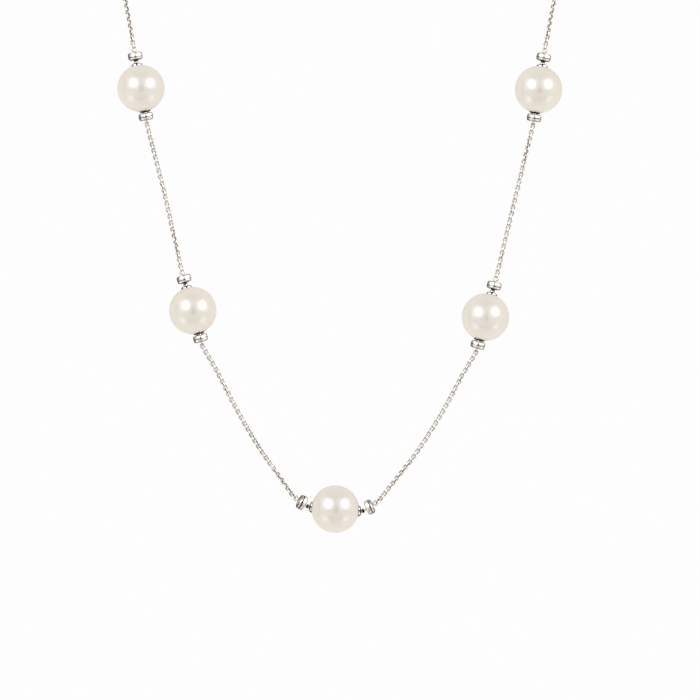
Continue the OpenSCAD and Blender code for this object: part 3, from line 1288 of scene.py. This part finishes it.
@dataclass
class Necklace:
    """Five pearl stations on a cable chain, with the two long runs that meet at the nape."""

    front: Front = field(default_factory=Front)
    front_top: float = 36.2 * MM
    lacquer: PearlFinish = field(default_factory=PearlFinish)
    bright: SilverFinish = field(default_factory=lambda: SilverFinish("bright_silver_polish"))
    drawn: SilverFinish = field(
        default_factory=lambda: SilverFinish(
            "drawn_silver_wire",
            colour=(0.80, 0.745, 0.68),
            # The wire's dark film is lighter: painted shade between the links, with patina.
            shade_and_patina_layer=(0.20, 0.158, 0.116),
            smooth=0.10,
            worn=0.18,
        )
    )

    def stations(self) -> list[Station]:
        """Lists the pearls, from the left of the front to the right.

        Returns:
            The five stations.
        """
        above = PinEnd(7.29 * MM, 0.0, 5.55 * MM, swing=1.0, groove_at=-0.2 * MM)
        # The collars under the lower discs are painted black all over: painted shade in the gap between
        # pearl and disc.
        below = PinEnd(
            6.20 * MM, 90.0, 4.86 * MM, swing=-10.0, collar_rise=0.15 * MM, collar_painted_shade=1.0
        )
        left = PinEnd(7.54 * MM, 25.0, 5.84 * MM, tilt=21.0, swing=14.0, bend=31.3)
        right = PinEnd(7.67 * MM, 25.0, 5.97 * MM, tilt=28.0, swing=7.0, bend=38.7)
        left = replace(left, groove_at=0.14 * MM, groove_width=0.22 * MM)
        right = replace(right, groove_at=0.2 * MM, groove_width=0.16 * MM)
        places = [
            (-33.6, -92.8, -80.0, above, replace(below, tilt=2.0)),
            (-24.8, -130.3, -74.5, replace(above, tilt=-2.0), replace(below, tilt=1.5)),
            (-0.8, -163.7, -4.7, left, right),
            (24.5, -131.4, 74.7, below, replace(above, tilt=2.0)),
            (33.5, -93.0, 81.0, below, replace(above, tilt=-3.0)),
        ]
        return [
            Station(number, across * MM, height * MM, heading, behind, ahead, self.front)
            for number, (across, height, heading, behind, ahead) in enumerate(places, 1)
        ]

    def neck_side(self) -> list[Vector]:
        """Lists the route of the chain over the right side of the neck.

        Returns:
            Its points, from the top of the front to the nape.
        """
        route = [
            (38.8, -84.0, -66.5),
            (41.3, -80.7, -55.5),
            (43.8, -75.8, -45.2),
            (46.0, -69.0, -36.0),
            (47.4, -60.2, -27.8),
            (47.6, -50.0, -20.5),
            (46.2, -38.8, -14.6),
            (42.2, -27.5, -9.8),
            (35.8, -17.3, -6.0),
            (27.0, -9.0, -3.0),
            (17.0, -3.0, -1.0),
            (8.0, -0.6, -0.2),
        ]
        top = self.front.point(self.front_top, -self.front.drop)
        return [top, *(Vector(point) * MM for point in route)]

    def chains(self, stations: Sequence[Station], clasp: Clasp) -> list[CableChain]:
        """Lists the chain runs.

        Args:
            stations: The pearls' places.
            clasp: The clasp at the nape.

        Returns:
            The six runs, from the left nape round the front.
        """
        right_neck = self.neck_side()
        left_neck = [Vector((-p.x, p.y, p.z)) for p in right_neck]
        first, last = stations[0].hook(Side.BEHIND), stations[-1].hook(Side.AHEAD)
        facing = self.front.normal
        runs = [CableChain(1, first, left_neck, clasp.left_hook, facing)]
        between = [
            (10.0, [(-29.4, -111.3)]),
            (5.0, [(-20.5, -140.9), (-18.3, -145.2), (-15.9, -149.5), (-13.4, -153.6), (-10.7, -157.5)]),
            (-8.0, [(9.8, -158.2), (12.8, -154.3), (15.5, -150.2), (18.0, -146.0), (20.3, -141.7)]),
            (-5.0, [(29.4, -111.9)]),
        ]
        for (before, after), (lie, spots) in zip(pairwise(stations), between):
            route = [self.front.point(across * MM, height * MM) for across, height in spots]
            start, finish = before.hook(Side.AHEAD), after.hook(Side.BEHIND)
            runs.append(CableChain(before.number + 1, start, route, finish, facing, lie))
        return [*runs, CableChain(len(runs) + 1, last, right_neck, clasp.right_hook, facing)]

    def attach(self, piece: Piece, node: str) -> None:
        """Puts a piece on the part, in place of the plain solid that it stands for.

        Args:
            piece: The piece.
            node: The solid's name.
        """
        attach(piece, BODY)
        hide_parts(node)
        LOG.info("%s replaces %s, %d faces", piece.name, node, len(piece.data.polygons))

    def build(self, nodes: Mapping[str, Piece]) -> None:
        """Builds and dresses every piece.

        Args:
            nodes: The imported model's solids, by name.
        """
        lacquer = self.lacquer.material()
        bright = self.bright.material()
        drawn = self.drawn.material()
        stations = self.stations()
        for station in stations:
            number = station.number
            self.attach(Pearl().build(station, lacquer), f"pearl_{number}")
            self.attach(FlaredTube().build(station, bright), f"flared_tube_{number}")
            self.attach(EyePin().build(station, drawn), f"eye_pin_{number}")
            for disc, side in enumerate(Side, 2 * number - 1):
                piece = Rondelle().build(disc, station, side, bright)
                self.attach(piece, f"rondelle_{disc}")
        for run in self.chains(stations, Clasp()):
            self.attach(run.build(drawn), f"chain_{run.number}")
        for name in ("clasp", "end_ring"):
            nodes[name].data.materials.clear()
            nodes[name].data.materials.append(bright)
            LOG.info("%s keeps its solid, in polished silver", name)


# The studio


@dataclass(frozen=True)
class Panel:
    """A round, soft-edged patch of the studio, placed as a mirror ball of radius 1 shows it."""

    across: float
    up: float
    half_width: float
    half_height: float
    soft: float
    level: float
    colour: Colour = WHITE

    def mask(self, across: Socket, up: Socket) -> Socket:
        """Marks the patch.

        Args:
            across: How far to the right a mirror ball shows the direction looked at.
            up: How far up it shows it.

        Returns:
            1 inside the patch and 0 outside it.
        """
        aside = (across - self.across) / self.half_width
        above = (up - self.up) / self.half_height
        return aside.reach(above).within(1.0, self.soft)


@dataclass(frozen=True)
class Crescent:
    """A faint arc low in the studio, placed as a mirror ball of radius 1 shows it."""

    radius: float
    half_width: float
    top: float
    soft: float
    level: float
    colour: Colour

    def mask(self, across: Socket, up: Socket) -> Socket:
        """Marks the arc: 1 inside it and 0 outside it, as Panel does."""
        ring = abs(across.reach(up) - self.radius).within(self.half_width, self.soft)
        return ring * up.within(self.top, self.soft)


@dataclass(frozen=True)
class Step:
    """A place where the studio's brightness changes. Angles are in degrees."""

    at: float
    soft: float
    level: float

    def beyond(self, before: Socket | float, angle: Socket) -> Socket:
        """Runs from the brightness before the step to its own."""
        change = angle.ramp((self.at - self.soft / 2, self.at + self.soft / 2))
        return before + (self.level - before) * change


@dataclass
class Studio:
    """Plain soft studio light all round, a pale floor and a white background."""

    fill_level: float = 1.235
    fill_slope: float = -0.40
    fill_rise: float = -0.07
    floor_drop: float = 90 * MM
    floor_radius: float = 1.2
    floor_around: int = 96
    lowest_level: float = 0.72
    layers: tuple[Step, ...] = (Step(-34, 14, 0.95), Step(-2, 10, 1.35), Step(52, 28, 0.62))
    ring: Step = Step(124, 14, 0.24)
    shades: tuple[Panel | Crescent, ...] = (
        Panel(-0.86, 0.15, 0.24, 1.0, 0.15, 0.72, (0.08, 0.08, 0.08)),
        Panel(0.035, 0.24, 0.075, 0.24, 0.8, 0.48, (0.32, 0.16, 0.064)),
        Panel(0.035, -0.03, 0.095, 0.15, 0.6, 0.85, (0.16, 0.08, 0.056)),
        Panel(0.02, -0.20, 0.22, 0.24, 0.5, 0.22, (0.08, 0.064, 0.056)),
        Crescent(0.46, 0.06, -0.24, 0.04, 0.5, (0.48, 0.24, 0.08)),
    )
    lights: tuple[Panel, ...] = (
        Panel(-0.302, 0.232, 0.148, 0.168, 0.6, 3.6),
        Panel(0.414, 0.232, 0.150, 0.168, 0.6, 3.6),
        Panel(-0.420, -0.430, 0.12, 0.12, 0.9, 1.15, (0.94, 1.0, 0.92)),
        Panel(0.450, -0.430, 0.12, 0.12, 0.9, 1.15, (0.94, 1.0, 0.92)),
    )

    def mirrored(self, shop: ShaderShop, x: Socket, y: Socket, z: Socket) -> Link:
        """Draws what the gloss of the necklace mirrors.

        Args:
            shop: The world's tree.
            x: How far the direction looked at goes to the right.
            y: How far it goes to the back.
            z: How far it goes up.

        Returns:
            The studio's light.
        """
        degrees = 180 / math.pi
        elevation = z.math("ARCSINE", z) * degrees
        away = y.math("ARCCOSINE", y * -1.0) * degrees
        level: Socket | float = self.lowest_level
        for step in self.layers:
            level = step.beyond(level, elevation)
        level = self.ring.beyond(level, away)
        total = shop.vector("SCALE", {0: WHITE, "Scale": level})
        ball = ((1.0 - y) * 2.0).root()
        across, up = x / ball, z / ball
        for shade in self.shades:
            total = shop.blend(shade.mask(across, up) * shade.level, total, shade.colour)
        for light in self.lights:
            glow = light.mask(across, up) * light.level
            glow = shop.vector("SCALE", {0: light.colour, "Scale": glow})
            total = shop.vector("ADD", {0: total, 1: glow})
        return total

    def world(self) -> None:
        """Lights the scene from all round."""
        world = bpy.data.worlds.new("soft_studio")
        world.use_nodes = True
        shop = ShaderShop(world.node_tree)
        way = shop.node("ShaderNodeTexCoord").outputs["Generated"]
        split = shop.node("ShaderNodeSeparateXYZ", {}, {"Vector": way})
        x, y, z = (Socket(shop, output) for output in split.outputs)
        path = shop.node("ShaderNodeLightPath")
        gloss = shop.background(self.mirrored(shop, x, y, z))
        fill = shop.background(WHITE, abs(y) * self.fill_slope + z * self.fill_rise + self.fill_level)
        lit = shop.mix(path.outputs["Is Glossy Ray"], fill, gloss)
        seen = shop.mix(path.outputs["Is Camera Ray"], lit, shop.background(BACKDROP))
        shop.node("ShaderNodeOutputWorld", {}, {"Surface": seen})
        bpy.context.scene.world = world

    def floor(self, low: Vector, high: Vector) -> None:
        """Lays the floor, a round disc below the necklace.

        Args:
            low: The necklace's lowest corner.
            high: Its highest corner.
        """
        middle = (low + high) / 2
        around = self.floor_around
        points = [Vector((x, y, 0)) * self.floor_radius for x, y in circle(around)]
        disc = Surface(points, [tuple(range(around))], [0.0] * around)
        floor = make_piece("studio_floor", FloorFinish().material(), [(disc, Matrix())])
        floor.location = (middle.x, middle.y, low.z - self.floor_drop)
        floor.visible_glossy = False
        floor.visible_diffuse = False
        floor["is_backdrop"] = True

    def build(self) -> None:
        """Lights the scene and lays the floor."""
        self.world()
        self.floor(*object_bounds())
        bpy.context.scene.view_settings.view_transform = "Standard"
        LOG.info("studio: %d panels, floor %.0f mm below", len(self.lights), self.floor_drop / MM)


@dataclass(frozen=True)
class Camera:
    """A long lens, level and square to the front, which frames what the photograph does."""

    across: float = 1.684 * MM
    height: float = -136.94 * MM
    view_width: float = 117.88 * MM
    plane_y: float = -92.2 * MM
    distance: float = 2.4
    sensor: float = 36.0
    nearest: float = 0.1
    farthest: float = 20.0

    def build(self) -> None:
        """Makes the camera."""
        data = bpy.data.cameras.new("front_camera")
        data.sensor_width = self.sensor
        data.lens = self.sensor * self.distance / self.view_width
        data.clip_start = self.nearest
        data.clip_end = self.farthest
        camera = bpy.data.objects.new("front_camera", data)
        camera.location = (self.across, self.plane_y - self.distance, self.height)
        camera.rotation_euler = (math.radians(90), 0, 0)
        bpy.context.scene.collection.objects.link(camera)
        bpy.context.scene.camera = camera
        LOG.info("camera: %.0f mm lens at %.1f m", data.lens, self.distance)


def main() -> None:
    """Builds the necklace, its studio and its camera."""
    logging.basicConfig(level=logging.INFO, format="%(message)s")
    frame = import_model()
    Camera().build()
    Necklace().build(frame["nodes"])
    Studio().build()


if __name__ == "__main__":
    main()
